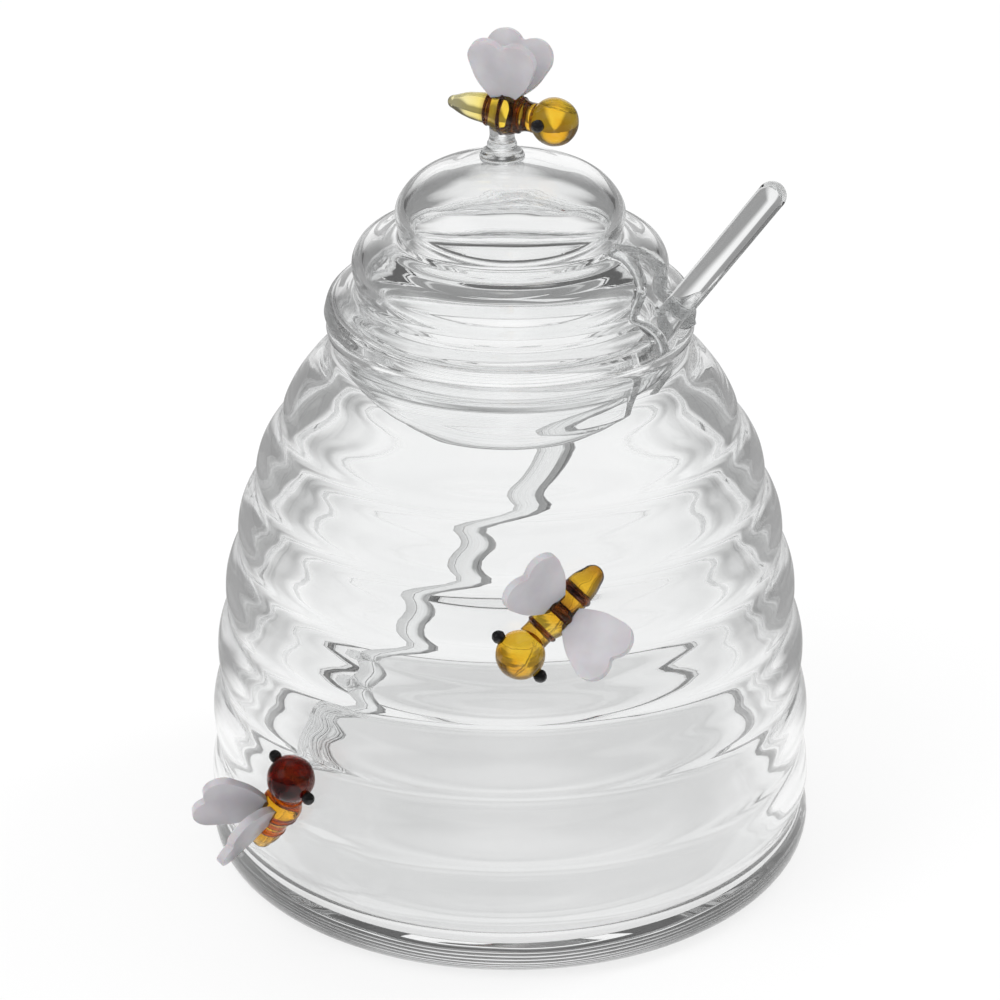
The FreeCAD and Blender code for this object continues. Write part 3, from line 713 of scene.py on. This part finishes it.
def makeBee(name, bee):
    s = beeShape
    matrix = beeMatrix(bee)
    lift = 0 if "head" in bee else s["headLift"]
    headMaterial = darkAmberGlass if name == "bee_side" else amberGlass
    headSlot = "dark_amber_glass" if name == "bee_side" else "amber_glass"
    bandMaterial = redBrownGlass if name == "bee_side" else brownGlass
    deselectAll()
    bpy.ops.mesh.primitive_uv_sphere_add(segments=96, ring_count=64, radius=s["headRadius"] * mm)
    head = bpy.context.object
    head.name = head.data.name = name + "Head"
    bpy.ops.object.shade_smooth()
    waver(head, *s["headWaver"])
    placePiece(head, matrix @ Matrix.Translation((0, 0, lift * mm)))
    finishPiece(head, headMaterial, headSlot, name + "_head")

    outline = bodyOutline(bee)
    body = turnedPiece(name + "Body", outline, 96)
    waver(body, *s["bodyWaver"])
    placePiece(body, matrix @ Matrix.Rotation(pi / 2, 4, "Y"))
    bodyGlass = bandedGlass(name + "Glass", matrix, {"colors": bee["colors"], **s["bodyLook"]})
    finishPiece(body, bodyGlass, "amber_glass", name + "_body")

    for i, back in enumerate(bee["bands"]):
        deselectAll()
        ring = radiusAt(outline, back) + s["bandProud"] - s["bandRadius"]
        bpy.ops.mesh.primitive_torus_add(major_radius=ring * mm, minor_radius=s["bandRadius"] * mm,
                                         major_segments=72, minor_segments=20)
        band = bpy.context.object
        band.name = band.data.name = "%sBand%d" % (name, i + 1)
        bpy.ops.object.mode_set(mode="EDIT")
        bpy.ops.mesh.select_all(action="SELECT")
        bpy.ops.transform.resize(value=(1, 1, bee["widths"][i]))
        bpy.ops.object.mode_set(mode="OBJECT")
        bpy.ops.object.shade_smooth()
        waver(band, *s["bandWaver"])
        behind = Matrix.Translation((-back * mm, 0, 0))
        placePiece(band, matrix @ behind @ Matrix.Rotation(pi / 2, 4, "Y"))
        finishPiece(band, bandMaterial, "brown_glass", "%s_band_%d" % (name, i + 1))

    for label, side in (("left", 1), ("right", -1)):
        wing = makeWing(name + "Wing" + label.title(), bee, side)
        finishPiece(wing, opalGlass, "opal_glass", "%s_wing_%s" % (name, label))

        deselectAll()
        bpy.ops.mesh.primitive_uv_sphere_add(segments=32, ring_count=20, radius=s["eyeRadius"] * mm)
        eye = bpy.context.object
        eye.name = eye.data.name = name + "Eye" + label.title()
        bpy.ops.object.shade_smooth()
        waver(eye, *s["eyeWaver"])
        aside = Vector((bee["eye"][0], side * bee["eye"][1], bee["eye"][2]))
        centre = Vector((0, 0, lift)) + aside * (s["headRadius"] + s["eyeStand"])
        placePiece(eye, matrix @ Matrix.Translation(centre * mm))
        finishPiece(eye, blackGlass, "black_glass", "%s_eye_%s" % (name, label))


for name, bee in bees.items():
    makeBee(name, bee)
    print(name, "made")


# stem: the clear foot and waist under the lid's bee

stemShape = {
    "footRadius": 3.8, "footSink": 0.6, "radius": 2.2, "topZ": 133.2, "back": 9.35,
    "steps": 96, "waver": 0.1, "waverSize": 3}


def makeStem():
    s = stemShape
    apexZ = lidShape["tiers"][0][1] + lidShape["tiers"][0][2]
    footZ = apexZ - s["footSink"]
    side = smoothLine([
        (0.94 * s["footRadius"], footZ), (s["footRadius"], footZ + 0.9),
        (0.86 * s["footRadius"], footZ + 1.9), (0.68 * s["footRadius"], footZ + 2.4),
        (0.66 * s["footRadius"], footZ + 3.1),
        (s["radius"], footZ + 3.9), (s["radius"], s["topZ"])], 0.2)
    outline = joinLines([(0, footZ)], side, [(0, s["topZ"])])
    stem = turnedPiece("lidStem", outline, s["steps"])
    waver(stem, s["waver"], s["waverSize"])
    bee = beeMatrix(bees["bee_finial"])
    under = bee.translation / mm - bee.to_3x3() @ Vector((s["back"], 0, 0))
    placePiece(stem, Matrix.Translation(Vector((under.x, under.y, 0)) * mm))
    finishPiece(stem, clearGlass, "lid_glass", "lid_stem")


makeStem()
print("stem made")


# studio

studio = {
    "camera": (0, -565, 335), "pitch": 25.6, "lens": 129.6, "shiftX": -0.0102,
    "floorSize": 8.0, "floorDrop": 0.0001,
    "paperGrey": 0.82, "paperGlow": 0.8, "paperBehind": 0.25, "paperNarrow": 11.5,
    "paperNear": 0.4, "paperFar": 1.1, "paperEdge": 0.18,
    "crossNarrow": 18.0, "crossNear": 0.5, "crossFar": 1.2, "roomGlow": 0.12, "aimZ": 60,
    "panels": ((0.0, 1.0, 0.08, 0.85, 0.985, 1.0), (-0.72, -0.35, 0.6, 0.88, 0.98, 0.5),
               (0.85, -0.1, 0.5, 0.88, 0.98, 0.4), (0.0, 0.35, 0.93, 0.88, 0.98, 0.4)),
    "lamps": (("keyBox", (-700, -500, 900), (0.5, 0.9), 6), ("rimBox", (800, 300, 700), (0.3, 0.9), 4)),
    "bounces": 72, "glossyBounces": 64}


def makeFloor():
    deselectAll()
    floorZ = cadBox[0].z - studio["floorDrop"]
    bpy.ops.mesh.primitive_plane_add(size=studio["floorSize"], location=(0, 0, floorZ))
    floor = bpy.context.object
    floor.name = "studioFloor"
    material = bpy.data.materials.new("studioPaper")
    material.use_nodes = True
    tree = material.node_tree
    tree.nodes.clear()
    paper = tree.nodes.new("ShaderNodeBsdfDiffuse")
    paper.inputs["Color"].default_value = (*[studio["paperGrey"]] * 3, 1)
    glow = tree.nodes.new("ShaderNodeEmission")
    coords = tree.nodes.new("ShaderNodeTexCoord")
    lit = studio["paperEdge"]
    strips = (  # a narrow strip front to back, crossed by one to the sides
        (studio["paperBehind"], (studio["paperNarrow"], 1, 1), studio["paperNear"], studio["paperFar"]),
        (0, (1, studio["crossNarrow"], 1), studio["crossNear"], studio["crossFar"]))
    for behind, scale, near, far in strips:
        oval = tree.nodes.new("ShaderNodeMapping")
        oval.inputs["Location"].default_value = (0, -behind, 0)
        oval.inputs["Scale"].default_value = scale
        tree.links.new(coords.outputs["Object"], oval.inputs["Vector"])
        away = tree.nodes.new("ShaderNodeVectorMath")
        away.operation = "LENGTH"
        tree.links.new(oval.outputs["Vector"], away.inputs[0])
        strip = fadeNode(tree, away.outputs["Value"], near, far, 1, 0)
        lit = blendNode(tree, "MAXIMUM", strip, lit)
    path = tree.nodes.new("ShaderNodeLightPath")
    camera = path.outputs["Is Camera Ray"]
    tree.links.new(blendNode(tree, "MAXIMUM", camera, lit), glow.inputs["Strength"])
    seen = blendNode(tree, "MAXIMUM", camera, path.outputs["Is Glossy Ray"])
    seen = blendNode(tree, "MAXIMUM", seen, path.outputs["Is Transmission Ray"])
    mix = tree.nodes.new("ShaderNodeMixShader")
    out = tree.nodes.new("ShaderNodeOutputMaterial")
    tree.links.new(blendNode(tree, "MULTIPLY", seen, studio["paperGlow"]), mix.inputs["Fac"])
    tree.links.new(paper.outputs[0], mix.inputs[1])
    tree.links.new(glow.outputs[0], mix.inputs[2])
    tree.links.new(mix.outputs[0], out.inputs["Surface"])
    floor.data.materials.append(material)


def makeSky():
    world = bpy.data.worlds.new("studioSky")
    bpy.context.scene.world = world
    world.use_nodes = True
    tree = world.node_tree
    back = tree.nodes["Background"]
    coords = tree.nodes.new("ShaderNodeTexCoord")
    glow = studio["roomGlow"]
    for x, y, z, edge, middle, panelGlow in studio["panels"]:  # wide soft lights in a dim room
        facing = tree.nodes.new("ShaderNodeVectorMath")
        facing.operation = "DOT_PRODUCT"
        facing.inputs[1].default_value = Vector((x, y, z)).normalized()
        tree.links.new(coords.outputs["Generated"], facing.inputs[0])
        panel = fadeNode(tree, facing.outputs["Value"], edge, middle, 0, panelGlow)
        glow = blendNode(tree, "MAXIMUM", panel, glow)
    path = tree.nodes.new("ShaderNodeLightPath")
    plain = blendNode(tree, "MAXIMUM", path.outputs["Is Camera Ray"], path.outputs["Is Diffuse Ray"])
    tree.links.new(blendNode(tree, "MAXIMUM", plain, glow), back.inputs["Strength"])
    back.inputs["Color"].default_value = (1, 1, 1, 1)


def softBox(name, place, size, power):
    deselectAll()
    bpy.ops.object.light_add(type="AREA", location=Vector(place) * mm)
    lamp = bpy.context.object
    lamp.name = name
    lamp.data.shape = "RECTANGLE"
    lamp.data.size, lamp.data.size_y = size
    lamp.data.energy = power
    lamp.visible_glossy = lamp.visible_transmission = False
    aim = Vector((0, 0, studio["aimZ"])) - Vector(place)
    lamp.rotation_euler = aim.to_track_quat("-Z", "Y").to_euler()


def makeCamera():
    deselectAll()
    bpy.ops.object.camera_add(location=Vector(studio["camera"]) * mm)
    camera = bpy.context.object
    camera.rotation_euler = (radians(90 - studio["pitch"]), 0, 0)
    camera.data.lens = studio["lens"]
    camera.data.sensor_width = 36
    camera.data.shift_x = studio["shiftX"]
    camera.data.clip_start, camera.data.clip_end = 0.01, 20
    bpy.context.scene.camera = camera


makeFloor()
makeSky()
for lamp in studio["lamps"]:
    softBox(*lamp)
makeCamera()
bpy.context.scene.view_settings.view_transform = "Standard"
cycles = bpy.context.scene.cycles  # light runs far along the walls of the glass
cycles.max_bounces = cycles.transmission_bounces = studio["bounces"]
cycles.glossy_bounces = studio["glossyBounces"]

print("scene ready")
